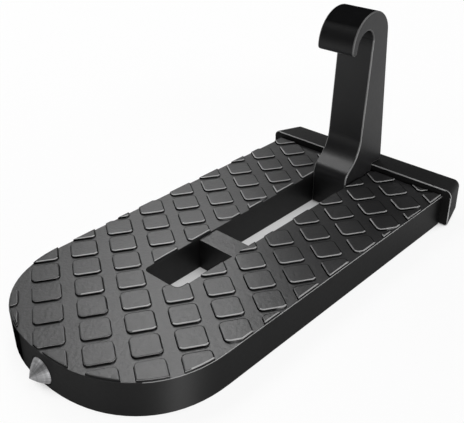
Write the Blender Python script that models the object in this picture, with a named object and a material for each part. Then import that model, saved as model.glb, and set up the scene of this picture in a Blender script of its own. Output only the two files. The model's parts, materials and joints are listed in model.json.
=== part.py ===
"""Car door latch step: a cast pedal, a folding hook, a rubber end pad and a steel hammer tip.

The width runs along X, the nose points to -Y, the hook and the end pad are at +Y, and Z is up from
the underside. Lengths are in metres.
"""
import math

import bmesh
import bpy
from mathutils import Matrix, Vector

MM = 0.001

# Shared clearances
GAP = 0.3 * MM
CUT_MARGIN = 2.0 * MM

# Pedal casting
BODY_WIDTH = 73.2 * MM
BODY_LENGTH = 141.9 * MM
BODY_DEPTH = 11.2 * MM
NOSE_LENGTH = 33.2 * MM
NOSE_FULLNESS = 2.25
NOSE_STEPS = 40
TOP_EDGE_BREAK = 0.15 * MM
SKIRT_WALL = 2.8 * MM
DECK_WALL = 3.0 * MM
REAR_WALL = 4.0 * MM
RIB_WALL = 2.0 * MM
REAR_BAYS = 3
NOSE_BAYS = 3

# Slot and cross bar
SLOT_WALL = 3.0 * MM
SLOT_LENGTH = 99.5 * MM
SLOT_CORNER = 1.8 * MM
SLOT_CORNER_STEPS = 4
BAR_FROM_REAR = 68.1 * MM
BAR_LENGTH = 7.9 * MM
BAR_DROP = 0.46 * MM

# Grip pads on the tread
GRIP_SIZE = 8.55 * MM
GRIP_CORNER = 1.6 * MM
GRIP_HEIGHT = 0.7 * MM
GRIP_DRAFT = 0.18 * MM
GRIP_ROOT = 0.5 * MM
GRIP_INSET = 0.16 * MM
GRIP_PITCH_WIDE = 12.13 * MM
GRIP_PITCH_CLOSE = 10.08 * MM
GRIP_ANGLE = math.radians(57.05)
GRIP_START_SIDE = 27.76 * MM
GRIP_START_FROM_NOSE = 21.55 * MM
GRIP_CORNER_STEPS = 3
GRIP_LEAST_AREA = 1.6 * MM * MM

# Hook
HOOK_WIDTH = 14.5 * MM
HOOK_HEIGHT = 72.0 * MM
HOOK_EDGE_BREAK = 0.35 * MM
CURL_CENTRE_FROM_PAD = 6.6 * MM
CURL_FRONT_REACH = 11.5 * MM
CURL_FRONT_DROP = 11.3 * MM
CURL_BACK_REACH = 8.9 * MM
CURL_BACK_DROP = 8.4 * MM
MOUTH_CENTRE_FROM_PAD = 9.9 * MM
CURL_WALL = 5.7 * MM
MOUTH_FRONT_REACH = 5.5 * MM
MOUTH_FRONT_DROP = 5.7 * MM
MOUTH_BACK_REACH = 3.75 * MM
MOUTH_BACK_DROP = 4.1 * MM
SHANK_FOOT_FROM_PAD = 9.25 * MM
KNEE_RISE = 3.7 * MM
SHANK_FOOT_RISE = 6.3 * MM
SHANK_FOOT_RADIUS = 13.0 * MM
KNEE_RADIUS = 5.0 * MM
KNUCKLE_FRONT = 5.6 * MM
KNUCKLE_REAR = 6.8 * MM
HEEL_OVERHANG = 5.6 * MM
HOOK_GROUND_CLEARANCE = 0.4 * MM
CURL_STEPS = 14
CURL_END_STEPS = 8
SHANK_FOOT_STEPS = 8
KNEE_STEPS = 6
HEEL_STEPS = 8

# Hinge pin and its clip
PIN_RADIUS = 2.5 * MM
PIN_HEIGHT = 6.2 * MM
PIN_BOSS_RADIUS = 5.0 * MM
PIN_BOSS_LENGTH = 1.5 * MM
PIN_HEAD_RADIUS = 3.5 * MM
PIN_HEAD_LENGTH = 1.4 * MM
PIN_GROOVE_DEPTH = 0.6 * MM
PIN_END_LENGTH = 1.2 * MM
PIN_EDGE_BREAK = 0.4 * MM
CLIP_THICKNESS = 0.7 * MM
CLIP_RADIUS = 3.6 * MM
CLIP_OPENING = math.radians(110.0)

# Rubber end pad
PAD_OVERHANG = 3.4 * MM
PAD_HEIGHT = 13.9 * MM
PAD_THICKNESS = 11.4 * MM
PAD_SIDE_TAPER = 2.95 * MM
PAD_TOP_TAPER = 0.9 * MM
PAD_FOOT_TAPER = 1.0 * MM
PAD_CORNER = 2.2 * MM
PAD_FOOT_CORNER = 1.1 * MM
PAD_CORNER_STEPS = 5
PAD_FOOT_STEPS = 3
PAD_EDGE_BREAK = 0.45 * MM
PAD_EDGE_STEPS = 3

# Screws and washers that hold the end pad
SCREW_FROM_SIDE = 12.6 * MM
SCREW_HEIGHT = 6.0 * MM
SCREW_RADIUS = 2.0 * MM
SCREW_DEPTH = 12.0 * MM
SCREW_HEAD_RADIUS = 3.5 * MM
SCREW_HEAD_LENGTH = 2.6 * MM
SCREW_SOCKET_WIDTH = 3.0 * MM
SCREW_SOCKET_DEPTH = 1.5 * MM
SCREW_SOCKET_SIDES = 6
SCREW_EDGE_BREAK = 0.6 * MM
SCREW_BOSS_WALL = 2.2 * MM
WASHER_RADIUS = 4.4 * MM
WASHER_THICKNESS = 0.8 * MM
COUNTERBORE_DEPTH = 6.0 * MM

# Hammer tip
TIP_RADIUS = 4.05 * MM
TIP_LENGTH = 3.9 * MM
TIP_LIFT = 4.55 * MM
TIP_BULGE = 0.35 * MM
TIP_SEAT_DEPTH = 0.4 * MM
TIP_FLAT_RADIUS = 0.12 * MM
STUD_RADIUS = 2.5 * MM
STUD_LENGTH = 8.5 * MM
STUD_BOSS_WALL = 1.9 * MM
TIP_STEPS = 6

ROUND_STEPS = 32
SMALL_ROUND_STEPS = 20
LEAST_UPWARD = 0.9
SMOOTH_ANGLE = math.radians(32.0)

# Places worked out from the sizes above; the plan's middle is at the origin
TIP_REACH = TIP_LENGTH + GAP - TIP_SEAT_DEPTH
OVERALL_LENGTH = TIP_REACH + BODY_LENGTH + GAP + PAD_THICKNESS
PAD_REAR_Y = OVERALL_LENGTH / 2.0
PAD_FRONT_Y = PAD_REAR_Y - PAD_THICKNESS
BODY_REAR_Y = PAD_FRONT_Y - GAP
PAD_WIDTH = BODY_WIDTH + 2.0 * PAD_OVERHANG
SCREW_X = BODY_WIDTH / 2.0 - SCREW_FROM_SIDE
NOSE_Y = BODY_REAR_Y - BODY_LENGTH
TIP_BASE_Y = NOSE_Y + TIP_SEAT_DEPTH - GAP
SLOT_WIDTH = HOOK_WIDTH + 2.0 * GAP
SLOT_HALF = SLOT_WIDTH / 2.0
SLOT_FRONT_Y = BODY_REAR_Y - SLOT_LENGTH
SLOT_REAR_Y = BODY_REAR_Y - REAR_WALL
BAR_REAR_Y = BODY_REAR_Y - BAR_FROM_REAR
PIN_Y = SLOT_REAR_Y - GAP - KNUCKLE_REAR
WALL_FACE_X = SLOT_HALF + SLOT_WALL
BOSS_FACE_X = WALL_FACE_X + PIN_BOSS_LENGTH
PIN_TAIL_X = BOSS_FACE_X + CLIP_THICKNESS + 2.0 * GAP + PIN_END_LENGTH
PIN_ROOM_RADIUS = max(PIN_HEAD_RADIUS, CLIP_RADIUS) + GAP
POCKET_ROOF = BODY_DEPTH - DECK_WALL
MOUTH_TOP = HOOK_HEIGHT - CURL_WALL
KNEE_Z = BODY_DEPTH + KNEE_RISE
SHANK_FOOT_Z = KNEE_Z + SHANK_FOOT_RISE
SCREW_HOLE_RADIUS = SCREW_RADIUS + GAP

MATERIALS = {
    "coated alloy": ((0.030, 0.030, 0.031), 0.45, 0.0),
    "coated hook": ((0.026, 0.026, 0.027), 0.40, 0.0),
    "rubber": ((0.014, 0.014, 0.014), 0.75, 0.0),
    "bright steel": ((0.62, 0.62, 0.63), 0.28, 1.0),
    "zinc steel": ((0.42, 0.42, 0.43), 0.38, 1.0),
}


def clear_scene():
    for item in list(bpy.data.objects):
        bpy.data.objects.remove(item, do_unlink=True)


def material(name):
    """Returns the Principled material of that name, made on first use."""
    if name in bpy.data.materials:
        return bpy.data.materials[name]
    colour, roughness, metallic = MATERIALS[name]
    made = bpy.data.materials.new(name)
    made.use_nodes = True
    shader = made.node_tree.nodes["Principled BSDF"]
    shader.inputs["Base Color"].default_value = (*colour, 1.0)
    shader.inputs["Roughness"].default_value = roughness
    shader.inputs["Metallic"].default_value = metallic
    made.diffuse_color = (*colour, 1.0)
    return made


def object_from_bmesh(name, mesh_data):
    """Turns a bmesh into a linked object with outward faces."""
    bmesh.ops.recalc_face_normals(mesh_data, faces=mesh_data.faces)
    mesh = bpy.data.meshes.new(name)
    mesh_data.to_mesh(mesh)
    mesh_data.free()
    made = bpy.data.objects.new(name, mesh)
    bpy.context.scene.collection.objects.link(made)
    return made


def add_loft(mesh_data, rings):
    """Skins a stack of rings with equal point counts and caps both ends."""
    loops = [[mesh_data.verts.new(point) for point in ring] for ring in rings]
    count = len(loops[0])
    for lower, upper in zip(loops, loops[1:]):
        for index in range(count):
            after = (index + 1) % count
            mesh_data.faces.new((lower[index], lower[after], upper[after], upper[index]))
    mesh_data.faces.new(list(reversed(loops[0])))
    mesh_data.faces.new(loops[-1])


def loft(name, rings):
    mesh_data = bmesh.new()
    add_loft(mesh_data, rings)
    return object_from_bmesh(name, mesh_data)


def at_height(outline, height):
    return [(x, y, height) for x, y in outline]


def prism(name, outline, bottom, top):
    return loft(name, [at_height(outline, bottom), at_height(outline, top)])


def box(name, low, high):
    outline = [(low[0], low[1]), (high[0], low[1]), (high[0], high[1]), (low[0], high[1])]
    return prism(name, outline, low[2], high[2])


def turned(name, profile, place, axis, steps=ROUND_STEPS):
    """Revolves (distance along axis, radius) pairs; a zero radius closes an end to a point."""
    mesh_data = bmesh.new()
    rings = []
    for along, radius in profile:
        if radius <= 0.0:
            rings.append([mesh_data.verts.new((0.0, 0.0, along))])
            continue
        angles = [2.0 * math.pi * step / steps for step in range(steps)]
        rings.append([mesh_data.verts.new((radius * math.cos(a), radius * math.sin(a), along))
                      for a in angles])
    for lower, upper in zip(rings, rings[1:]):
        for step in range(steps):
            after = (step + 1) % steps
            corners = [lower[step % len(lower)], lower[after % len(lower)],
                       upper[after % len(upper)], upper[step % len(upper)]]
            corners = list(dict.fromkeys(corners))
            mesh_data.faces.new(corners)
    for ring in (rings[0], rings[-1]):
        if len(ring) > 2:
            mesh_data.faces.new(ring)
    turn = Vector((0.0, 0.0, 1.0)).rotation_difference(Vector(axis)).to_matrix().to_4x4()
    mesh_data.transform(Matrix.Translation(place) @ turn)
    return object_from_bmesh(name, mesh_data)


def rod(name, start, end, radius, steps=ROUND_STEPS):
    reach = Vector(end) - Vector(start)
    return turned(name, [(0.0, radius), (reach.length, radius)], start, reach.normalized(), steps)


def combine(target, tool, operation):
    """Applies one exact boolean to the target and removes the tool."""
    step = target.modifiers.new(operation.title(), "BOOLEAN")
    step.operation = operation
    step.solver = "EXACT"
    step.object = tool
    graph = bpy.context.evaluated_depsgraph_get()
    graph.update()
    result = bpy.data.meshes.new_from_object(target.evaluated_get(graph))
    target.modifiers.clear()
    target.data = result
    bpy.data.objects.remove(tool, do_unlink=True)


def cut(target, *tools):
    for tool in tools:
        combine(target, tool, "DIFFERENCE")


def add(target, *tools):
    for tool in tools:
        combine(target, tool, "UNION")


def finish(item, material_name, origin=None):
    """Names the mesh, welds stray points, sets the material, shading and origin."""
    mesh = item.data
    mesh.name = item.name
    if origin is not None:
        mesh.transform(Matrix.Translation(-Vector(origin)))
        item.location = origin
    mesh.materials.clear()
    mesh.materials.append(material(material_name))
    mesh.polygons.foreach_set("use_smooth", [True] * len(mesh.polygons))
    mesh.polygons.foreach_set("material_index", [0] * len(mesh.polygons))
    mesh.set_sharp_from_angle(angle=SMOOTH_ANGLE)
    mesh.update()
    return item


def turn(centre, reach, rise, start, end, steps):
    """Points of an elliptical arc between two angles in degrees."""
    points = []
    for step in range(steps + 1):
        angle = math.radians(start + (end - start) * step / steps)
        points.append((centre[0] + reach * math.cos(angle), centre[1] + rise * math.sin(angle)))
    return points


def rounded(corner, before, after, radius, steps):
    """Replaces one corner between two neighbours by a tangent arc."""
    corner = Vector(corner)
    to_before = (Vector(before) - corner).normalized()
    to_after = (Vector(after) - corner).normalized()
    half = to_before.angle(to_after) / 2.0
    along = radius / math.tan(half)
    centre = corner + (to_before + to_after).normalized() * (radius / math.sin(half))
    first = corner + to_before * along - centre
    last = corner + to_after * along - centre
    sweep = first.angle_signed(last)
    arc = []
    for step in range(steps + 1):
        turned_by = Matrix.Rotation(-sweep * step / steps, 2)
        arc.append(tuple(centre + turned_by @ first))
    return arc


def body_outline(inset=0.0, rear=BODY_REAR_Y):
    """Plan of the casting: straight sides, a square rear end and a full round nose."""
    half_width = BODY_WIDTH / 2.0 - inset
    nose = NOSE_LENGTH - inset
    shoulder = NOSE_Y + NOSE_LENGTH
    points = [(half_width, rear), (-half_width, rear)]
    for step in range(NOSE_STEPS + 1):
        angle = math.pi * step / NOSE_STEPS
        power = 2.0 / NOSE_FULLNESS
        side = math.copysign(abs(math.cos(angle)) ** power, math.cos(angle))
        reach = abs(math.sin(angle)) ** power
        points.append((-half_width * side, shoulder - nose * reach))
    return points


def slot_outline(grow=0.0, rear=SLOT_REAR_Y):
    """Plan of the slot, with rounded front corners; grow widens it all round."""
    half = SLOT_HALF + grow
    front = SLOT_FRONT_Y - grow
    radius = SLOT_CORNER + grow
    left = rounded((-half, front), (-half, rear), (half, front), radius, SLOT_CORNER_STEPS)
    right = rounded((half, front), (-half, front), (half, rear), radius, SLOT_CORNER_STEPS)
    return [(half, rear), (-half, rear)] + left + right


def grip_outline(centre, shrink):
    """One grip pad seen from above: a rounded square turned to the lattice."""
    half = GRIP_SIZE / 2.0 - shrink
    radius = GRIP_CORNER - shrink
    middle = half - radius
    points = []
    for corner in range(4):
        for step in range(GRIP_CORNER_STEPS + 1):
            angle = math.radians(90.0) * (corner + step / GRIP_CORNER_STEPS)
            across = math.copysign(middle, math.cos(math.radians(90.0 * corner + 45.0)))
            along = math.copysign(middle, math.sin(math.radians(90.0 * corner + 45.0)))
            local = Vector((across + radius * math.cos(angle), along + radius * math.sin(angle)))
            local.rotate(Matrix.Rotation(GRIP_ANGLE, 2))
            points.append((centre[0] + local[0], centre[1] + local[1]))
    return points


def grip_centres():
    """Lattice points whose pads can reach the tread."""
    wide = Vector((math.cos(GRIP_ANGLE), math.sin(GRIP_ANGLE))) * GRIP_PITCH_WIDE
    close = Vector((math.sin(GRIP_ANGLE), -math.cos(GRIP_ANGLE))) * GRIP_PITCH_CLOSE
    start = Vector((-GRIP_START_SIDE, NOSE_Y + GRIP_START_FROM_NOSE))
    reach = int((BODY_LENGTH + BODY_WIDTH) / GRIP_PITCH_CLOSE)
    for row in range(-reach, reach + 1):
        for column in range(-reach, reach + 1):
            centre = start + wide * row + close * column
            beside = abs(centre.x) < BODY_WIDTH / 2.0 + GRIP_SIZE
            inside = NOSE_Y - GRIP_SIZE < centre.y < BODY_REAR_Y + GRIP_SIZE
            if beside and inside:
                yield centre


def islands(mesh_data):
    """Yields the faces of each separate shell."""
    waiting = set(mesh_data.faces)
    while waiting:
        shell = {waiting.pop()}
        edge_of_search = list(shell)
        while edge_of_search:
            face = edge_of_search.pop()
            for edge in face.edges:
                for neighbour in edge.link_faces:
                    if neighbour in waiting:
                        waiting.discard(neighbour)
                        shell.add(neighbour)
                        edge_of_search.append(neighbour)
        yield shell


def drop_slivers(item):
    """Removes clipped pads that are too small to cast."""
    mesh_data = bmesh.new()
    mesh_data.from_mesh(item.data)
    loose = []
    for shell in islands(mesh_data):
        top = sum(face.calc_area() for face in shell if face.normal.z > LEAST_UPWARD)
        if top < GRIP_LEAST_AREA:
            loose.extend(shell)
    spent = {vert for face in loose for vert in face.verts}
    bmesh.ops.delete(mesh_data, geom=list(spent), context="VERTS")
    mesh_data.to_mesh(item.data)
    mesh_data.free()


def grip_pads():
    """All grip pads, cut off along the tread's edges."""
    mesh_data = bmesh.new()
    root = BODY_DEPTH - GRIP_ROOT
    top = BODY_DEPTH + GRIP_HEIGHT
    for centre in grip_centres():
        foot = grip_outline(centre, 0.0)
        crown = grip_outline(centre, GRIP_DRAFT)
        add_loft(mesh_data, [at_height(foot, root), at_height(foot, BODY_DEPTH), at_height(crown, top)])
    pads = object_from_bmesh("grip_pads", mesh_data)
    rim = TOP_EDGE_BREAK + GRIP_INSET
    tread = prism("tread", body_outline(rim, BODY_REAR_Y - GRIP_INSET), 0.0, top + CUT_MARGIN)
    combine(pads, tread, "INTERSECT")
    cut(pads, prism("slot edge", slot_outline(GRIP_INSET, BODY_REAR_Y + CUT_MARGIN), 0.0, top + CUT_MARGIN))
    drop_slivers(pads)
    return pads


def rib_places():
    """Y of each cross rib: even bays behind the cross bar, and ahead of the slot."""
    bar = BAR_REAR_Y - BAR_LENGTH / 2.0
    slot_end = SLOT_FRONT_Y - SLOT_WALL / 2.0
    nose = NOSE_Y + SKIRT_WALL
    places = [bar + (SLOT_REAR_Y - bar) * bay / REAR_BAYS for bay in range(REAR_BAYS)]
    places += [slot_end + (nose - slot_end) * bay / NOSE_BAYS for bay in range(NOSE_BAYS)]
    return places


def pocket_core():
    """The hollow of the underside: everything inside the skirt that isn't wall, rib or boss."""
    core = prism("core", body_outline(SKIRT_WALL, SLOT_REAR_Y), -CUT_MARGIN, POCKET_ROOF)
    reach = BODY_WIDTH / 2.0
    half = RIB_WALL / 2.0
    low = -2.0 * CUT_MARGIN
    high = BODY_DEPTH
    cut(core, prism("slot walls", slot_outline(SLOT_WALL, BODY_REAR_Y), low, high))
    for middle in rib_places():
        cut(core, box("cross rib", (-reach, middle - half, low), (reach, middle + half, high)))
    for side in (-1.0, 1.0):
        place = side * SCREW_X
        inner_end = BODY_REAR_Y - SCREW_DEPTH - SCREW_BOSS_WALL
        cut(core, box("long rib", (place - half, NOSE_Y, low), (place + half, BODY_REAR_Y, high)))
        cut(core, rod("screw boss", (place, BODY_REAR_Y, SCREW_HEIGHT), (place, inner_end, SCREW_HEIGHT),
                      SCREW_HOLE_RADIUS + SCREW_BOSS_WALL, SMALL_ROUND_STEPS))
        cut(core, rod("pin boss", (0.0, PIN_Y, PIN_HEIGHT), (side * BOSS_FACE_X, PIN_Y, PIN_HEIGHT),
                      PIN_BOSS_RADIUS, SMALL_ROUND_STEPS))
    cut(core, box("nose rib", (-half, NOSE_Y, low), (half, SLOT_FRONT_Y, high)))
    cut(core, rod("stud boss", (0.0, NOSE_Y, TIP_LIFT),
                  (0.0, NOSE_Y + STUD_LENGTH + STUD_BOSS_WALL, TIP_LIFT),
                  STUD_RADIUS + GAP + STUD_BOSS_WALL, SMALL_ROUND_STEPS))
    return core


def pedal_body():
    """The casting: skirt, deck, slot with its cross bar, ribs, bosses, bores and grip pads."""
    flat = body_outline()
    top = body_outline(TOP_EDGE_BREAK)
    body = loft("pedal_body", [at_height(flat, 0.0), at_height(flat, BODY_DEPTH - TOP_EDGE_BREAK),
                               at_height(top, BODY_DEPTH)])
    cut(body, pocket_core())
    cut(body, prism("slot", slot_outline(), -CUT_MARGIN, BODY_DEPTH + CUT_MARGIN))
    anchor = SLOT_HALF + SLOT_WALL / 2.0
    add(body, box("cross bar", (-anchor, BAR_REAR_Y - BAR_LENGTH, 0.0),
                  (anchor, BAR_REAR_Y, BODY_DEPTH - BAR_DROP)))
    add(body, grip_pads())
    reach = BOSS_FACE_X + CUT_MARGIN
    cut(body, rod("pin bore", (-reach, PIN_Y, PIN_HEIGHT), (reach, PIN_Y, PIN_HEIGHT),
                  PIN_RADIUS + GAP, SMALL_ROUND_STEPS))
    for side in (-1.0, 1.0):
        cut(body, rod("pin end room", (side * BOSS_FACE_X, PIN_Y, PIN_HEIGHT),
                      (side * (PIN_TAIL_X + GAP), PIN_Y, PIN_HEIGHT), PIN_ROOM_RADIUS, SMALL_ROUND_STEPS))
        place = side * SCREW_X
        cut(body, rod("screw bore", (place, BODY_REAR_Y + CUT_MARGIN, SCREW_HEIGHT),
                      (place, BODY_REAR_Y - SCREW_DEPTH, SCREW_HEIGHT), SCREW_HOLE_RADIUS, SMALL_ROUND_STEPS))
    cut(body, rod("tip seat", (0.0, NOSE_Y - CUT_MARGIN, TIP_LIFT), (0.0, NOSE_Y + TIP_SEAT_DEPTH, TIP_LIFT),
                  TIP_RADIUS + GAP))
    cut(body, rod("stud bore", (0.0, NOSE_Y - CUT_MARGIN, TIP_LIFT), (0.0, NOSE_Y + STUD_LENGTH, TIP_LIFT),
                  STUD_RADIUS + GAP, SMALL_ROUND_STEPS))
    return finish(body, "coated alloy")


def hook_profile(inset=0.0):
    """Side view of the hook as (y, z) points: curl, round tip, mouth, shank, knee, knuckle and heel."""
    top_y = PAD_FRONT_Y - CURL_CENTRE_FROM_PAD
    mouth_y = PAD_FRONT_Y - MOUTH_CENTRE_FROM_PAD
    tip_front = top_y - CURL_FRONT_REACH + inset
    tip_back = mouth_y - MOUTH_FRONT_REACH - inset
    tip_radius = (tip_back - tip_front) / 2.0
    front = PIN_Y - KNUCKLE_FRONT + inset
    foot = HOOK_GROUND_CLEARANCE + inset
    heel_y = PAD_FRONT_Y + HEEL_OVERHANG - inset
    heel_z = PAD_HEIGHT + GAP + inset
    step_y = PAD_FRONT_Y - GAP - inset
    step_z = BODY_DEPTH + GAP + inset
    rear = PIN_Y + KNUCKLE_REAR - inset

    points = [(rear, step_z), (step_y, step_z), (step_y, heel_z), (heel_y, heel_z)]
    points += turn((top_y, HOOK_HEIGHT - CURL_BACK_DROP), CURL_BACK_REACH - inset,
                   CURL_BACK_DROP - inset, 0.0, 90.0, CURL_STEPS)
    points += turn((top_y, HOOK_HEIGHT - CURL_FRONT_DROP), CURL_FRONT_REACH - inset,
                   CURL_FRONT_DROP - inset, 90.0, 180.0, CURL_STEPS)[1:]
    points += turn(((tip_front + tip_back) / 2.0, MOUTH_TOP - MOUTH_FRONT_DROP), tip_radius,
                   tip_radius, 180.0, 360.0, CURL_END_STEPS)
    points += turn((mouth_y, MOUTH_TOP - MOUTH_FRONT_DROP), MOUTH_FRONT_REACH + inset,
                   MOUTH_FRONT_DROP + inset, 180.0, 90.0, CURL_STEPS)[1:]
    points += turn((mouth_y, MOUTH_TOP - MOUTH_BACK_DROP), MOUTH_BACK_REACH + inset,
                   MOUTH_BACK_DROP + inset, 90.0, 0.0, CURL_STEPS)[1:]
    shank_foot = (PAD_FRONT_Y - SHANK_FOOT_FROM_PAD + inset, SHANK_FOOT_Z)
    knee = (front, KNEE_Z)
    points += rounded(shank_foot, points[-1], knee, SHANK_FOOT_RADIUS, SHANK_FOOT_STEPS)
    points += rounded(knee, shank_foot, (front, foot), KNEE_RADIUS, KNEE_STEPS)
    points.append((front, foot))
    reach = rear - PIN_Y
    lowest = math.degrees(math.asin((PIN_HEIGHT - foot) / reach))
    points += turn((PIN_Y, PIN_HEIGHT), reach, reach, -lowest, 0.0, HEEL_STEPS)
    return points


def hook():
    """The folding hook, with broken edges, turning on the pin's axis."""
    half = HOOK_WIDTH / 2.0
    full = hook_profile()
    inner = hook_profile(HOOK_EDGE_BREAK)
    rings = []
    for x, outline in ((-half, inner), (-half + HOOK_EDGE_BREAK, full),
                       (half - HOOK_EDGE_BREAK, full), (half, inner)):
        rings.append([(x, y, z) for y, z in outline])
    made = loft("hook", rings)
    reach = half + CUT_MARGIN
    cut(made, rod("hook bore", (-reach, PIN_Y, PIN_HEIGHT), (reach, PIN_Y, PIN_HEIGHT), PIN_RADIUS + GAP))
    return finish(made, "coated hook", (0.0, PIN_Y, PIN_HEIGHT))


def hinge_pin():
    """Headed pin; its far end has the groove for the clip."""
    head_seat = BOSS_FACE_X + GAP
    groove_start = BOSS_FACE_X
    groove_end = groove_start + CLIP_THICKNESS + 2.0 * GAP
    groove_radius = PIN_RADIUS - PIN_GROOVE_DEPTH
    head_end = -head_seat - PIN_HEAD_LENGTH
    profile = [(head_end, PIN_HEAD_RADIUS - PIN_EDGE_BREAK),
               (head_end + PIN_EDGE_BREAK, PIN_HEAD_RADIUS),
               (-head_seat, PIN_HEAD_RADIUS),
               (-head_seat, PIN_RADIUS),
               (groove_start, PIN_RADIUS),
               (groove_start, groove_radius),
               (groove_end, groove_radius),
               (groove_end, PIN_RADIUS),
               (PIN_TAIL_X - PIN_EDGE_BREAK, PIN_RADIUS),
               (PIN_TAIL_X, PIN_RADIUS - PIN_EDGE_BREAK)]
    made = turned("hinge_pin", profile, (0.0, PIN_Y, PIN_HEIGHT), (1.0, 0.0, 0.0), SMALL_ROUND_STEPS)
    return finish(made, "zinc steel", (0.0, PIN_Y, PIN_HEIGHT))


def pin_clip():
    """Open retaining ring that sits in the pin's groove, its mouth facing down."""
    inner = PIN_RADIUS - PIN_GROOVE_DEPTH + GAP
    start = -math.pi / 2.0 + CLIP_OPENING / 2.0
    sweep = 2.0 * math.pi - CLIP_OPENING
    angles = [start + sweep * step / ROUND_STEPS for step in range(ROUND_STEPS + 1)]
    outline = [(CLIP_RADIUS * math.cos(a), CLIP_RADIUS * math.sin(a)) for a in angles]
    outline += [(inner * math.cos(a), inner * math.sin(a)) for a in reversed(angles)]
    near = BOSS_FACE_X + GAP
    rings = [[(x, PIN_Y + y, PIN_HEIGHT + z) for y, z in outline] for x in (near, near + CLIP_THICKNESS)]
    return finish(loft("pin_clip", rings), "zinc steel")


def pad_outline(depth, shrink=0.0):
    """Front view of the end pad at a distance behind its front face, with round upper corners."""
    share = depth / PAD_THICKNESS
    half = PAD_WIDTH / 2.0 - PAD_SIDE_TAPER * share - shrink
    top = PAD_HEIGHT - PAD_TOP_TAPER * share - shrink
    foot = PAD_FOOT_TAPER * share + shrink
    y = PAD_FRONT_Y + depth
    points = rounded((-half, foot), (half, foot), (-half, top), PAD_FOOT_CORNER, PAD_FOOT_STEPS)
    points += rounded((-half, top), (-half, foot), (half, top), PAD_CORNER, PAD_CORNER_STEPS)
    points += rounded((half, top), (-half, top), (half, foot), PAD_CORNER, PAD_CORNER_STEPS)
    points += rounded((half, foot), (half, top), (-half, foot), PAD_FOOT_CORNER, PAD_FOOT_STEPS)
    return [(x, y, z) for x, z in points]


def end_pad():
    """Tapered rubber block with two counterbored screw holes."""
    edge = PAD_EDGE_BREAK
    rings = []
    for step in range(PAD_EDGE_STEPS + 1):
        angle = math.radians(90.0) * step / PAD_EDGE_STEPS
        rings.append(pad_outline(edge * (1.0 - math.cos(angle)), edge * (1.0 - math.sin(angle))))
    rings += [pad_outline(PAD_THICKNESS - edge), pad_outline(PAD_THICKNESS, edge)]
    made = loft("end_pad", rings)
    for side in (-1.0, 1.0):
        place = side * SCREW_X
        cut(made, rod("screw way", (place, PAD_FRONT_Y - CUT_MARGIN, SCREW_HEIGHT),
                      (place, PAD_REAR_Y, SCREW_HEIGHT), SCREW_HOLE_RADIUS, SMALL_ROUND_STEPS))
        cut(made, rod("counterbore", (place, PAD_REAR_Y - COUNTERBORE_DEPTH, SCREW_HEIGHT),
                      (place, PAD_REAR_Y + CUT_MARGIN, SCREW_HEIGHT), WASHER_RADIUS + GAP, SMALL_ROUND_STEPS))
    return finish(made, "rubber")


def pad_fastener(word, side):
    """One screw with a hexagon socket, and its washer on the counterbore's floor."""
    place = side * SCREW_X
    floor = PAD_REAR_Y - COUNTERBORE_DEPTH
    washer_top = floor + GAP + WASHER_THICKNESS
    washer = turned(f"pad_washer_{word}", [(0.0, WASHER_RADIUS), (WASHER_THICKNESS, WASHER_RADIUS)],
                    (place, floor + GAP, SCREW_HEIGHT), (0.0, 1.0, 0.0), SMALL_ROUND_STEPS)
    cut(washer, rod("washer bore", (place, floor - CUT_MARGIN, SCREW_HEIGHT),
                    (place, washer_top + CUT_MARGIN, SCREW_HEIGHT), SCREW_HOLE_RADIUS, SMALL_ROUND_STEPS))
    seat = washer_top + GAP
    shank = seat - (BODY_REAR_Y - SCREW_DEPTH + GAP)
    edge = SCREW_EDGE_BREAK
    profile = [(-shank, SCREW_RADIUS - edge), (-shank + edge, SCREW_RADIUS), (0.0, SCREW_RADIUS),
               (0.0, SCREW_HEAD_RADIUS), (SCREW_HEAD_LENGTH - edge, SCREW_HEAD_RADIUS),
               (SCREW_HEAD_LENGTH, SCREW_HEAD_RADIUS - edge)]
    screw = turned(f"pad_screw_{word}", profile, (place, seat, SCREW_HEIGHT), (0.0, 1.0, 0.0),
                   SMALL_ROUND_STEPS)
    face = seat + SCREW_HEAD_LENGTH
    socket_radius = SCREW_SOCKET_WIDTH / 2.0 / math.cos(math.pi / SCREW_SOCKET_SIDES)
    cut(screw, rod("socket", (place, face - SCREW_SOCKET_DEPTH, SCREW_HEIGHT),
                   (place, face + CUT_MARGIN, SCREW_HEIGHT), socket_radius, SCREW_SOCKET_SIDES))
    return finish(screw, "zinc steel"), finish(washer, "zinc steel")


def hammer_tip():
    """Hardened point with a slightly full flank, turned in one piece with its stud."""
    stud_end = NOSE_Y + STUD_LENGTH - GAP - TIP_BASE_Y
    profile = [(-stud_end, STUD_RADIUS - PIN_EDGE_BREAK), (-stud_end + PIN_EDGE_BREAK, STUD_RADIUS),
               (0.0, STUD_RADIUS), (0.0, TIP_RADIUS)]
    for step in range(1, TIP_STEPS + 1):
        share = step / TIP_STEPS
        radius = TIP_RADIUS + (TIP_FLAT_RADIUS - TIP_RADIUS) * share
        bulge = TIP_BULGE * math.sin(math.pi * share)
        profile.append((TIP_LENGTH * share, radius + bulge))
    made = turned("hammer_tip", profile, (0.0, TIP_BASE_Y, TIP_LIFT), (0.0, -1.0, 0.0))
    return finish(made, "bright steel")


def main():
    clear_scene()
    pedal_body()
    hook()
    hinge_pin()
    pin_clip()
    end_pad()
    for word, side in (("left", -1.0), ("right", 1.0)):
        pad_fastener(word, side)
    hammer_tip()


main()
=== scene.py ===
import json
import math
from collections import namedtuple

import bmesh
import bpy
from mathutils import Matrix, Vector


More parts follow.
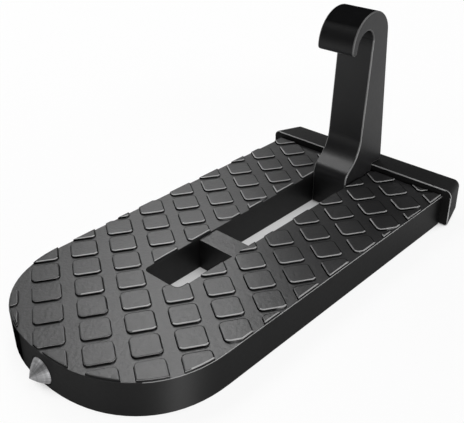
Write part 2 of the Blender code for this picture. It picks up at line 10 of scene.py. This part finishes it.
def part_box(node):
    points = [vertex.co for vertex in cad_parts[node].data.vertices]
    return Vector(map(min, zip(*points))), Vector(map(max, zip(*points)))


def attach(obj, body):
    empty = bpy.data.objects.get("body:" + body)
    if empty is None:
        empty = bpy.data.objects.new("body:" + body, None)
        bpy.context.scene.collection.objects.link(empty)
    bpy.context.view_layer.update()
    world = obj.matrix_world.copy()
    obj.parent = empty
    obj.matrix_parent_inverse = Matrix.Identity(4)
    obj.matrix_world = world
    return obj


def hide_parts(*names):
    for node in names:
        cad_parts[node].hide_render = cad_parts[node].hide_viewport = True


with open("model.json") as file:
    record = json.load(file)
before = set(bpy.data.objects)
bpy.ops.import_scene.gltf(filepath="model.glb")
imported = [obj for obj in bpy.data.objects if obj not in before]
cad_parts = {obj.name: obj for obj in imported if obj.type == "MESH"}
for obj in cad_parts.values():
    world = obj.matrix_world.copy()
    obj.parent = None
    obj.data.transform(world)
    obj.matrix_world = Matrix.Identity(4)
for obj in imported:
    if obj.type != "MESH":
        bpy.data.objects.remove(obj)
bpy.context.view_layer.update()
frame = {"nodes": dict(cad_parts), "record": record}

# The photograph's camera, in pixels, radians and metres, and its sensor in millimetres
PHOTO_WIDTH = 464
VIEW_FOCAL = 729.24
VIEW_AZIMUTH = math.radians(43.417)
VIEW_ELEVATION = math.radians(30.511)
VIEW_ROLL = math.radians(-0.814)
VIEW_PLACE = (0.135713, -0.144781, 0.137118)
SENSOR_WIDTH = 36.0
CLIP_START = 0.001
CLIP_END = 100

# Places on the part, in metres
TIP_LOW, TIP_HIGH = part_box("hammer_tip")
TIP_HEIGHT = (TIP_LOW[2] + TIP_HIGH[2]) / 2
GRIP_HEIGHT = 0.0007
DECK_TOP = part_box("pedal_body")[1][2] - GRIP_HEIGHT
DECK_RIM = 0.0007        # faces that lie lower than this under the deck are walls
DECK_MARGIN = 0.0001     # sloping faces higher than this over the deck are the grip pads' edges
TREAD_FROM = 0.004       # level faces above this are walked on
SLOT_REACH_X = 0.012     # the slots and their walls lie within this of the middle
SLOT_REACH_Y = -0.040    # and behind this
NOSE_EDGE_Y = -0.052     # ahead of this the grip pads' left edges get no painted highlight
CURL_DEPTH = 0.014       # how far down from the hook's top its curl reaches
CURL_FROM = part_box("hook")[1][2] - CURL_DEPTH
BORE_LIMIT = 0.013       # a ring of edges no larger than this is a bore's rim

# Rounded edges, in metres
GRIP_ROUND = 0.00016
GRIP_ROUND_IN = 0.00040
GRIP_ROUND_STEPS = 3
EDGE_ROUND = 0.0002
EDGE_ROUND_STEPS = 2
HOOK_ROUND_FROM = math.radians(25)
PAD_ROUND_FROM = math.radians(50)

# Limits of the mesh work, in metres and radians, and as shares
WELD = 2e-6
CUT_TOLERANCE = 1e-7
NO_LENGTH = 1e-9
CORNER_GAP = 4e-5
CORNER_FROM = math.radians(1.5)
FLAT_WITHIN = math.radians(0.5)
SHARP_FROM = math.radians(42)
MITRE_LEAST = 0.25
INSET_MOST = 0.45        # of the radius of the circle that fits in an outline
UNFOLD_ROUNDS = 4
ROUND_PROFILE = 0.5
FACE_AREA_WEIGHT = 80

# The ways that faces point: shares of a normal along a direction, and azimuths in degrees
FLAT_UP = 0.995
WALL_BELOW = 0.3
RIM_RIGHT = 0.5
GRIP_LEFT_FROM = 0.8
GRIP_RIGHT_FROM = 0.6
EDGE_FROM = 0.2
EDGE_TO = 0.97
CURL_UNDERSIDE = -0.1
GRIP_LEFT_AZIMUTH = -125
GRIP_RIGHT_AZIMUTH = -35

# The studio, in metres and degrees, with grey levels and strengths of glow
FLOOR_HALF = 6.0
FLOOR_Z = -0.00005
FLOOR_GREY = 0.80
# A painted shadow under the slots and painted shade near the part dim the floor's glow
SLOT_FLOOR_HALF = (0.025, 0.055)
SLOT_FLOOR_MIDDLE_Y = 0.015
SLOT_FLOOR_EDGE = (0.9, 1.1)
SLOT_FLOOR_GLOW = (0.35, 0.9)
CORNER_REACH = 0.04
CORNER_SAMPLES = 8
CORNER_OPENNESS = (0.15, 0.45)
CORNER_GLOW = (0.35, 1.0)
MIRROR_REACH = (0.06, 0.16)
MIRROR_GLOW = (0.30, 1.0)
ROOM_LOW_GREY = 0.06
ROOM_HIGH_GREY = 0.03
ROOM_HIGH_FROM = 0.5
HORIZON_GREY = 0.92
HORIZON_BAND = (0.02, 0.06)
CARD_CORNERS = ((-1, -1), (1, -1), (1, 1), (-1, 1))
FLAG_AZIMUTH = 137
FLAG_ELEVATION = 42
FLAG_SHADES = (0, 0.06, 0.068)
FLAG_DISTANCE = 0.10
FLAG_HALF_WIDTH = 0.032
FLAG_HALF_HEIGHT = 0.034
FLAG_GREY = 0.005

# Noises as scale and detail, tones as stops of a noise value and a share of the colour
TREAD_BLACK = (0.016, 0.016, 0.0165)
PAINT_CLOUD = (90.0, 3.0)
PAINT_PEEL = (900.0, 4.0)
PAINT_TONES = ((0.3, 0.85), (0.7, 1.15))
PAINT_ROUGHNESS_SPREAD = 0.05
PAINT_BUMP_DISTANCE = 0.0002
QUARTER_TURN = 0.25
METAL_GRAIN = (700.0, 4.0)
METAL_BLOTCH = (260.0, 3.0)
METAL_TONES = ((0.35, 0.75), (0.65, 1.2))
METAL_BUMP = 0.25
METAL_ROUGHNESS_SPREAD = 0.08
METAL_BUMP_DISTANCE = 0.00005
STEEL_STREAK = (9.0, 5.0)
STEEL_FINE = (1500.0, 2.0)
STEEL_RING = (2200.0, 2.0)
STEEL_TONES = ((0.35, 0.82), (0.65, 1.15))
STEEL_RING_NOISE = (0.3, 0.7)
STEEL_RING_SHARES = (0.8, 1.2)
STEEL_BUMP = 0.3

# A change of shine with the normal along an axis: from the paint's own at start to another at end
Fade = namedtuple("Fade", "axis start end shine")


def toward(azimuth, elevation):
    """A direction from the part, at an azimuth from +X and an elevation, in degrees."""
    az, el = math.radians(azimuth), math.radians(elevation)
    return Vector((math.cos(az) * math.cos(el), math.sin(az) * math.cos(el), math.sin(el)))


def grey(level):
    """A colour with its three channels at one level."""
    return level, level, level


def shade(colour, share):
    """A colour made darker or lighter."""
    return [channel * share for channel in colour]


class Nodes:
    """A short way to build the nodes of one tree."""

    def __init__(self, tree):
        self.tree = tree
        tree.nodes.clear()

    def join(self, source, target):
        self.tree.links.new(source, target)

    def add(self, kind, inputs=None, **attributes):
        """One node. Each input, by name or index, takes a value, a colour or another node's output."""
        node = self.tree.nodes.new(kind)
        for name, value in attributes.items():
            setattr(node, name, value)
        for key, value in (inputs or {}).items():
            socket = node.inputs[key]
            if isinstance(value, bpy.types.NodeSocket):
                self.join(value, socket)
            else:
                socket.default_value = (*value, 1) if socket.type == "RGBA" else value
        return node

    def place(self, kind="Object"):
        return self.add("ShaderNodeTexCoord").outputs[kind]

    def axis(self, vector, name):
        return self.add("ShaderNodeSeparateXYZ", {0: vector}).outputs[name]

    def number(self, operation, first, second):
        """The result of an operation on two numbers."""
        return self.add("ShaderNodeMath", {0: first, 1: second}, operation=operation).outputs[0]

    def vector(self, operation, *vectors):
        """The result of an operation on one or more vectors."""
        return self.add("ShaderNodeVectorMath", dict(enumerate(vectors)), operation=operation).outputs[0]

    def rescale(self, value, source, target=(0.0, 1.0)):
        """A value carried from one range to another and held at the ends."""
        return self.add("ShaderNodeMapRange", {
            "Value": value,
            "From Min": source[0],
            "From Max": source[1],
            "To Min": target[0],
            "To Max": target[1],
        }).outputs[0]

    def noise(self, place, scale, detail):
        inputs = {"Vector": place, "Scale": scale, "Detail": detail}
        return self.add("ShaderNodeTexNoise", inputs).outputs["Fac"]

    def ramp(self, value, *stops):
        """A colour that runs between two stops, each a place and a colour."""
        node = self.add("ShaderNodeValToRGB", {0: value})
        for element, (place, colour) in zip(node.color_ramp.elements, stops):
            element.position = place
            element.color = (*colour, 1)
        return node.outputs[0]

    def tones(self, noise, colour, stops):
        """A colour that a noise makes darker and lighter."""
        return self.ramp(noise, *((place, shade(colour, share)) for place, share in stops))

    def mix_colours(self, share, first, second):
        return self.add("ShaderNodeMix", {"Factor": share, 6: first, 7: second}, data_type="RGBA").outputs[2]

    def mix_shaders(self, share, first, second):
        return self.add("ShaderNodeMixShader", {"Fac": share, 1: first, 2: second}).outputs[0]

    def bump(self, height, strength, distance):
        inputs = {"Height": height, "Strength": strength, "Distance": distance}
        return self.add("ShaderNodeBump", inputs).outputs[0]

    def camera_rays(self):
        return self.add("ShaderNodeLightPath").outputs["Is Camera Ray"]

    def seeing_rays(self):
        """1 for rays of the camera, of a mirror image or through glass, and 0 for rays that only light."""
        rays = self.add("ShaderNodeLightPath").outputs
        direct = self.number("MAXIMUM", rays["Is Camera Ray"], rays["Is Glossy Ray"])
        return self.number("MAXIMUM", direct, rays["Is Transmission Ray"])

    def show(self, surface, kind="ShaderNodeOutputMaterial"):
        self.add(kind, {"Surface": surface})


def new_material(name):
    """An empty material and what builds its nodes."""
    material = bpy.data.materials.new(name)
    material.use_nodes = True
    return material, Nodes(material.node_tree)


def new_object(name, data):
    """An object in the scene."""
    item = bpy.data.objects.new(name, data)
    bpy.context.scene.collection.objects.link(item)
    return item


def make_camera():
    """The camera where the photograph was taken from."""
    az, el = VIEW_AZIMUTH, VIEW_ELEVATION
    back = Vector((math.sin(az) * math.cos(el), -math.cos(az) * math.cos(el), math.sin(el)))
    forward = -back
    right = forward.cross(Vector((0, 0, 1))).normalized()
    up = right.cross(forward)
    cos_roll, sin_roll = math.cos(VIEW_ROLL), math.sin(VIEW_ROLL)
    across = right * cos_roll + up * sin_roll
    upward = up * cos_roll - right * sin_roll
    turn = Matrix((across, upward, back)).transposed().to_4x4()
    data = bpy.data.cameras.new("camera")
    data.sensor_width = SENSOR_WIDTH
    data.lens = VIEW_FOCAL / PHOTO_WIDTH * SENSOR_WIDTH
    data.clip_start = CLIP_START
    data.clip_end = CLIP_END
    camera = new_object("camera", data)
    camera.matrix_world = Matrix.Translation(VIEW_PLACE) @ turn
    bpy.context.scene.camera = camera


def make_world():
    """A dim room, with a pale horizon that shows only to the camera and in metal and glass."""
    world = bpy.data.worlds.new("studio")
    bpy.context.scene.world = world
    world.use_nodes = True
    n = Nodes(world.node_tree)
    height = n.axis(n.place("Generated"), "Z")
    room = n.ramp(height, (0.0, grey(ROOM_LOW_GREY)), (ROOM_HIGH_FROM, grey(ROOM_HIGH_GREY)))
    band = n.rescale(height, HORIZON_BAND, (1.0, 0.0))
    share = n.number("MULTIPLY", band, n.seeing_rays())
    colour = n.mix_colours(share, room, grey(HORIZON_GREY))
    back = n.add("ShaderNodeBackground", {"Color": colour, "Strength": 1.0})
    n.show(back.outputs[0], "ShaderNodeOutputWorld")


def studio_card(name, corners, material):
    """A flat sheet in the studio, from its four corners."""
    mesh = bpy.data.meshes.new(name)
    mesh.from_pydata(corners, [], [(0, 1, 2, 3)])
    mesh.materials.append(material)
    return new_object(name, mesh)


def floor_material():
    """Matt grey in the lamps' light, with a glow that only the rays that see it get."""
    material, n = new_material("floor")
    place = n.place()
    # Less of the glow is mixed in where the slots open on the floor: a painted shadow under the part.
    half_x, half_y = SLOT_FLOOR_HALF
    from_slots = n.vector("ABSOLUTE", n.vector(
        "MULTIPLY_ADD", place, (1 / half_x, 1 / half_y, 0), (0, -SLOT_FLOOR_MIDDLE_Y / half_y, 0)))
    off_slots = n.number("MAXIMUM", n.axis(from_slots, "X"), n.axis(from_slots, "Y"))
    open_floor = n.rescale(off_slots, SLOT_FLOOR_EDGE, SLOT_FLOOR_GLOW)
    share = n.number("MULTIPLY", n.seeing_rays(), open_floor)
    # The glow is weaker close to the part, as painted shade: in its corners for the camera, by distance in
    # mirror images.
    corners = n.add("ShaderNodeAmbientOcclusion", {"Distance": CORNER_REACH}, samples=CORNER_SAMPLES)
    for_camera = n.rescale(corners.outputs["AO"], CORNER_OPENNESS, CORNER_GLOW)
    away = n.add("ShaderNodeVectorMath", {0: place}, operation="LENGTH")
    for_mirrors = n.rescale(away.outputs["Value"], MIRROR_REACH, MIRROR_GLOW)
    strengths = {"Factor": n.camera_rays(), "A": for_mirrors, "B": for_camera}
    strength = n.add("ShaderNodeMix", strengths, data_type="FLOAT")
    matt = n.add("ShaderNodeBsdfDiffuse", {"Color": grey(FLOOR_GREY)})
    glow = n.add("ShaderNodeEmission", {"Color": grey(1), "Strength": strength.outputs[0]})
    n.show(n.mix_shaders(share, matt.outputs[0], glow.outputs[0]))
    return material


def make_floor():
    """The floor lies a hair under the part, so that no two faces share a plane."""
    corners = [(i * FLOOR_HALF, j * FLOOR_HALF, 0) for i, j in CARD_CORNERS]
    floor = studio_card("floor", corners, floor_material())
    floor.location.z = FLOOR_Z


def aimed_panel(name, azimuth, elevation, distance, width, height, radiance):
    """A soft panel that faces the part."""
    away = toward(azimuth, elevation)
    data = bpy.data.lights.new(name, "AREA")
    data.shape = "RECTANGLE"
    data.size = width
    data.size_y = height
    data.energy = radiance * math.pi * width * height
    light = new_object(name, data)
    light.location = away * distance
    light.rotation_mode = "QUATERNION"
    light.rotation_quaternion = (-away).to_track_quat("-Z", "Y")


def make_lights():
    """The tread mirrors the far strip. The low panel on the right lights the edge lines, whose lighter colour
    is a painted highlight.
    """
    aimed_panel("far_strip", 141, 50, distance=1.3, width=0.34, height=0.72, radiance=9.0)
    aimed_panel("overhead", 20, 76, distance=1.3, width=0.75, height=0.75, radiance=4.0)
    aimed_panel("left_front", 208, 52, distance=1.3, width=0.42, height=0.36, radiance=11.5)
    aimed_panel("left_low", 173, 19, distance=1.4, width=0.30, height=0.35, radiance=3.0)
    aimed_panel("right_rear", 50, 38, distance=1.4, width=0.40, height=0.40, radiance=2.0)
    aimed_panel("low_right_front", -15, 4, distance=1.2, width=0.40, height=0.16, radiance=50.0)


def flag_material():
    """Black cloth that the camera looks through."""
    material, n = new_material("flag")
    cloth = n.add("ShaderNodeBsdfDiffuse", {"Color": grey(FLAG_GREY)})
    clear = n.add("ShaderNodeBsdfTransparent")
    n.show(n.mix_shaders(n.camera_rays(), cloth.outputs[0], clear.outputs[0]))
    return material


def make_flag():
    """A black card that keeps the far strip off the hook's curl."""
    away = toward(FLAG_AZIMUTH, FLAG_ELEVATION)
    middle = Vector(FLAG_SHADES) + away * FLAG_DISTANCE
    across = Vector((0, 0, 1)).cross(away).normalized()
    up = away.cross(across)
    corners = [middle + across * FLAG_HALF_WIDTH * i + up * FLAG_HALF_HEIGHT * j for i, j in CARD_CORNERS]
    flag = studio_card("flag", corners, flag_material())


def paint(name, colour, roughness, bump, shine=0.5, drawn_out=0.0, fade=None, highlight_fade_y=None):
    """Satin paint on cast metal, or rubber: slight mottling, a soft grain and orange peel.

    drawn_out stretches the highlights on upright walls. fade is a Fade of the shine. worn is two places along
    Y: the colour goes from the tread's black at the first to its own at the second, a painted highlight that
    fades out towards the nose."""
    material, n = new_material(name)
    place = n.place()
    peel = n.noise(place, *PAINT_PEEL)
    tone = n.tones(n.noise(place, *PAINT_CLOUD), colour, PAINT_TONES)
    if highlight_fade_y:
        tone = n.mix_colours(n.rescale(n.axis(place, "Y"), highlight_fade_y), TREAD_BLACK, tone)
    uneven = (roughness - PAINT_ROUGHNESS_SPREAD, roughness + PAINT_ROUGHNESS_SPREAD)
    shader = n.add("ShaderNodeBsdfPrincipled", {
        "Base Color": tone,
        "Roughness": n.rescale(peel, (0.0, 1.0), uneven),
        "Normal": n.bump(peel, bump, PAINT_BUMP_DISTANCE),
        "Specular IOR Level": shine,
    })
    if drawn_out:
        around = n.add("ShaderNodeTangent", direction_type="RADIAL", axis="Z")
        shader.inputs["Anisotropic"].default_value = drawn_out
        shader.inputs["Anisotropic Rotation"].default_value = QUARTER_TURN
        n.join(around.outputs[0], shader.inputs["Tangent"])
    if fade:
        facing = n.axis(n.add("ShaderNodeNewGeometry").outputs["Normal"], fade.axis)
        weaker = n.rescale(facing, (fade.start, fade.end), (shine, fade.shine))
        n.join(weaker, shader.inputs["Specular IOR Level"])
    n.show(shader.outputs[0])
    return material


def show_metal(n, colour, dulling, roughness, grain, bump):
    """Bare metal of a colour: one noise dulls it unevenly and another one is its grain."""
    uneven = (roughness - METAL_ROUGHNESS_SPREAD, roughness + METAL_ROUGHNESS_SPREAD)
    shader = n.add("ShaderNodeBsdfPrincipled", {
        "Metallic": 1.0,
        "Base Color": colour,
        "Roughness": n.rescale(dulling, (0.0, 1.0), uneven),
        "Normal": n.bump(grain, bump, METAL_BUMP_DISTANCE),
    })
    n.show(shader.outputs[0])


def metal(name, colour, roughness):
    """Blotched plated metal."""
    material, n = new_material(name)
    place = n.place()
    grain = n.noise(place, *METAL_GRAIN)
    tone = n.tones(n.noise(place, *METAL_BLOTCH), colour, METAL_TONES)
    show_metal(n, tone, grain, roughness, grain, METAL_BUMP)
    return material


def turned_steel(name, middle, colour, roughness):
    """Bright steel turned to a point on an axis along Y, with streaks out from it and fine rings around it."""
    material, n = new_material(name)
    place = n.place()
    outward = n.vector("MULTIPLY", n.vector("SUBTRACT", place, middle), (1, 0, 1))
    streak = n.noise(n.vector("NORMALIZE", outward), *STEEL_STREAK)
    rings = n.noise(n.vector("MULTIPLY", place, (0, 1, 0)), *STEEL_RING)
    tone = n.tones(streak, colour, STEEL_TONES)
    turned = n.rescale(rings, STEEL_RING_NOISE, STEEL_RING_SHARES)
    ringed = n.add("ShaderNodeVectorMath", {0: tone, "Scale": turned}, operation="SCALE")
    show_metal(n, ringed.outputs[0], streak, roughness, n.noise(place, *STEEL_FINE), STEEL_BUMP)
    return material


def welded_copy(node):
    """The CAD node's mesh with its split corners joined again."""
    bm = bmesh.new()
    bm.from_mesh(frame["nodes"][node].data)
    bmesh.ops.remove_doubles(bm, verts=bm.verts[:], dist=WELD)
    return bm


def show_piece(bm, name, node, materials, finish):
    """A shown piece that stands for a CAD node and moves with its body. finish names a face's material."""
    bm.normal_update()
    names = list(materials)
    for face in bm.faces:
        face.material_index = names.index(finish(face))
    mesh = bpy.data.meshes.new(name)
    bmesh.ops.recalc_face_normals(bm, faces=bm.faces[:])
    bm.to_mesh(mesh)
    bm.free()
    # The CAD mesh's own normals don't fit the new faces.
    if "custom_normal" in mesh.attributes:
        mesh.attributes.remove(mesh.attributes["custom_normal"])
    for material in materials.values():
        mesh.materials.append(material)
    mesh.shade_smooth()
    mesh.set_sharp_from_angle(angle=SHARP_FROM)
    piece = new_object(name, mesh)
    weights = piece.modifiers.new("facing", "WEIGHTED_NORMAL")
    weights.keep_sharp = True
    weights.weight = FACE_AREA_WEIGHT
    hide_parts(node)
    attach(piece, next(body for body, nodes in frame["record"]["behaviour"]["bodies"].items() if node in nodes))


def open_loops(bm):
    """Each closed run of open edges: its vertices, in order and anticlockwise from above, and its area."""
    left = {e for e in bm.edges if e.is_boundary}
    loops = []
    while left:
        first = next(iter(left))
        left.discard(first)
        loop = [first.verts[0], first.verts[1]]
        while True:
            onward = next((e for e in loop[-1].link_edges if e in left), None)
            if onward is None:
                break
            left.discard(onward)
            loop.append(onward.other_vert(loop[-1]))
        if loop[-1] is loop[0]:
            loop.pop()
        area = sum(p.co.x * q.co.y - q.co.x * p.co.y for p, q in zip(loop, loop[1:] + loop[:1])) / 2
        loops.append((loop if area > 0 else loop[::-1], abs(area)))
    return loops


def corners_of(loop):
    """Where a loop really turns, as indices: points in a straight run are left out."""
    found = []
    for i, vert in enumerate(loop):
        before = (vert.co - loop[i - 1].co).to_2d()
        after = (loop[(i + 1) % len(loop)].co - vert.co).to_2d()
        if before.length < NO_LENGTH or after.length < NO_LENGTH:
            continue
        if abs(before.angle_signed(after)) > CORNER_FROM:
            if not found or (loop[found[-1]].co - vert.co).length > CORNER_GAP:
                found.append(i)
    return found


def inset_ring(points, amount):
    """The points of a closed outline moved inward. A side that the move would turn round is closed."""
    ring = []
    for i, point in enumerate(points):
        into = (point - points[i - 1]).normalized()
        out = (points[(i + 1) % len(points)] - point).normalized()
        side = Vector((-into.y - out.y, into.x + out.x))
        side = side / max(MITRE_LEAST, 1 + into.dot(out))
        ring.append(point + side * amount)
    for _ in range(UNFOLD_ROUNDS):
        for i, point in enumerate(points):
            after = (i + 1) % len(points)
            if (ring[after] - ring[i]).dot(points[after] - point) < 0:
                ring[i] = ring[after] = (ring[i] + ring[after]) / 2
    return ring


def cap_with_round_edge(bm, loop, area):
    """Closes a grip pad's open loop with a rounded edge and a flat top."""
    turns = corners_of(loop)
    points = [loop[i].co.to_2d() for i in turns]
    around = sum((q - p).length for p, q in zip(points, points[1:] + points[:1]))
    inset = min(GRIP_ROUND_IN, INSET_MOST * 2 * area / around)
    foot_z = loop[0].co.z
    rows = []
    for step in range(1, GRIP_ROUND_STEPS + 1):
        turn = math.radians(90) * step / GRIP_ROUND_STEPS
        ring = inset_ring(points, inset * (1 - math.cos(turn)))
        rows.append([bm.verts.new((p.x, p.y, foot_z + GRIP_ROUND * math.sin(turn))) for p in ring])
    count = len(turns)
    for k in range(count):
        start, end = turns[k], turns[(k + 1) % count]
        stop = end if end > start else end + len(loop)
        run = [loop[j % len(loop)] for j in range(start, stop + 1)]
        bm.faces.new(run + [rows[0][(k + 1) % count], rows[0][k]])
    for low, high in zip(rows, rows[1:]):
        for k in range(count):
            after = (k + 1) % count
            bm.faces.new((low[k], low[after], high[after], high[k]))
    bm.faces.new(rows[-1])
    bmesh.ops.remove_doubles(bm, verts=[v for row in rows for v in row], dist=WELD)


def casting_finish(face):
    """Which of the casting's paints a face takes."""
    slope = face.normal.z
    middle = face.calc_center_median()
    if slope > FLAT_UP and middle.z > TREAD_FROM:
        return "tread"
    if slope < WALL_BELOW or middle.z < DECK_TOP - DECK_RIM:
        in_slots = abs(middle.x) < SLOT_REACH_X and middle.y > SLOT_REACH_Y
        return "slot" if in_slots else "side"
    # Right-facing rim faces, and right-facing grip pad edges at the nose, take a painted highlight.
    if middle.z < DECK_TOP + DECK_MARGIN or middle.y < NOSE_EDGE_Y:
        return "edge" if face.normal.x > RIM_RIGHT else "tread"
    # Other grip pad edges: a painted highlight where they face forward-left or forward-right, a painted shade
    # where they face back.
    across = Vector((face.normal.x, face.normal.y, 0)).normalized()
    if across.dot(toward(GRIP_LEFT_AZIMUTH, 0)) > GRIP_LEFT_FROM:
        return "left_edge"
    return "edge" if across.dot(toward(GRIP_RIGHT_AZIMUTH, 0)) > GRIP_RIGHT_FROM else "shaded"


def pedal_casting():
    """The casting with each grip pad's top edge rounded."""
    bm = welded_copy("pedal_body")
    cut_at = max(v.co.z for v in bm.verts) - GRIP_ROUND
    bmesh.ops.bisect_plane(bm, geom=bm.verts[:] + bm.edges[:] + bm.faces[:], dist=CUT_TOLERANCE,
                           plane_co=(0, 0, cut_at), plane_no=(0, 0, 1), clear_outer=True)
    for loop, area in open_loops(bm):
        cap_with_round_edge(bm, loop, area)
    paints = {
        # The walls are darker copies of the tread's black, and the side's shine fades to none where it faces
        # -X: painted shade.
        "side": paint("satin_black_side", (0.002, 0.002, 0.0021), roughness=0.50, bump=0.10, shine=0.40,
                      drawn_out=0.7, fade=Fade("X", start=0.4, end=-0.2, shine=0.0)),
        # The grip pads' edges: painted highlight where they face forward, painted shade where they face back;
        # the front ones' painted highlight fades out towards the nose.
        "edge": paint("painted_highlight_tread_edge", grey(0.27), roughness=0.38, bump=0.05),
        "tread": paint("satin_black_tread", TREAD_BLACK, roughness=0.40, bump=0.42),
        "shaded": paint("painted_shade_grip_edge", grey(0.004), roughness=0.5, bump=0.05, shine=0.1),
        "left_edge": paint("painted_highlight_tread_edge_front", grey(0.27), roughness=0.38, bump=0.05,
                           highlight_fade_y=(-0.005, 0.035)),
        "slot": paint("satin_black_slot", (0.010, 0.010, 0.0105), roughness=0.45, bump=0.10, shine=0.4),
    }
    show_piece(bm, "pedal_casting", "pedal_body", paints, casting_finish)


def beyond_the_bores(edges):
    """The edges without those that form a small closed ring, such as the rim of a bore."""
    kept, left = [], set(edges)
    while left:
        group, front = [], [left.pop()]
        while front:
            edge = front.pop()
            group.append(edge)
            near = {e for v in edge.verts for e in v.link_edges} & left
            left -= near
            front += near
        places = [v.co for e in group for v in e.verts]
        spans = [max(p[axis] for p in places) - min(p[axis] for p in places) for axis in range(3)]
        if max(spans) > BORE_LIMIT:
            kept += group
    return kept


def rounded_copy(node, round_from):
    """A copy of a CAD node with its outer edges rounded where they turn by more than an angle."""
    bm = welded_copy(node)
    bmesh.ops.dissolve_limit(bm, angle_limit=FLAT_WITHIN, use_dissolve_boundaries=False,
                             verts=bm.verts[:], edges=bm.edges[:], delimit=set())
    sharp = {e for e in bm.edges if e.is_manifold and e.calc_face_angle_signed(0) > round_from}
    bmesh.ops.bevel(bm, geom=beyond_the_bores(sharp), offset=EDGE_ROUND, offset_type="OFFSET",
                    segments=EDGE_ROUND_STEPS, profile=ROUND_PROFILE, affect="EDGES", clamp_overlap=False,
                    loop_slide=True)
    return bm


def hook_finish(face):
    """Which of the hook's paints a face takes: those of its flat sides, its edges and its bent faces."""
    across = abs(face.normal.x)
    if across > EDGE_TO:
        return "side"
    on_curl = face.calc_center_median().z > CURL_FROM
    if across > EDGE_FROM:
        return "curl_edge" if on_curl else "edge"
    return "curl" if on_curl and face.normal.z > CURL_UNDERSIDE else "shank"


def fold_out_hook():
    """The hook with its long edges rounded."""
    paints = {
        "shank": paint("satin_black_hook", (0.011, 0.011, 0.0115), roughness=0.36, bump=0.10, shine=0.32),
        # The edges are lighter partly for wear and partly as a painted highlight, less so on the curl.
        "edge": paint("wear_and_highlight_hook_edge", grey(0.16), roughness=0.42, bump=0.05),
        "side": paint("satin_black_hook_side", (0.009, 0.009, 0.0094), roughness=0.42, bump=0.15, shine=0.38),
        # The curl is a darker copy of the shank's black whose shine fades out on top: painted shade.
        "curl": paint("satin_black_curl", (0.006, 0.006, 0.0063), roughness=0.40, bump=0.10, shine=0.30,
                      fade=Fade("Z", start=0.1, end=0.7, shine=0.0)),
        "curl_edge": paint("wear_and_highlight_curl_edge", grey(0.09), roughness=0.42, bump=0.05, shine=0.30),
    }
    show_piece(rounded_copy("hook", HOOK_ROUND_FROM), "fold_out_hook", "hook", paints, hook_finish)


def pad_finish(face):
    """Which of the end pad's rubbers a face takes: its front edges take a painted highlight."""
    if EDGE_FROM < -face.normal.y < EDGE_TO:
        return "left_edge" if face.calc_center_median().x < 0 else "right_edge"
    return "face"


def rubber_pad():
    """The end pad with its outer edges rounded."""
    rubbers = {
        "face": paint("black_rubber", grey(0.005), roughness=0.65, bump=0.25, shine=0.27),
        # The front edges are light grey as a painted highlight, lighter on the left, where the hook keeps the
        # low lamp off.
        "right_edge": paint("painted_highlight_rubber_edge", grey(0.34), roughness=0.45, bump=0.1),
        "left_edge": paint("painted_highlight_rubber_edge_left", grey(0.42), roughness=0.45, bump=0.1),
    }
    show_piece(rounded_copy("end_pad", PAD_ROUND_FROM), "rubber_pad", "end_pad", rubbers, pad_finish)


def dress(material, *nodes):
    """Gives CAD nodes, shown with their own meshes, a material."""
    for node in nodes:
        mesh = frame["nodes"][node].data
        for index in range(len(mesh.materials)):
            mesh.materials[index] = material


make_camera()
make_world()
make_floor()
make_lights()
make_flag()

pedal_casting()
fold_out_hook()
rubber_pad()
steel = turned_steel("turned_steel", middle=(0, 0, TIP_HEIGHT), colour=(0.48, 0.48, 0.488), roughness=0.46)
zinc = metal("zinc_steel", colour=(0.42, 0.42, 0.43), roughness=0.38)
dress(steel, "hammer_tip")
dress(zinc, "hinge_pin", "pin_clip", "pad_screw_left", "pad_screw_right",
      "pad_washer_left", "pad_washer_right")

bpy.context.scene.view_settings.view_transform = "Standard"
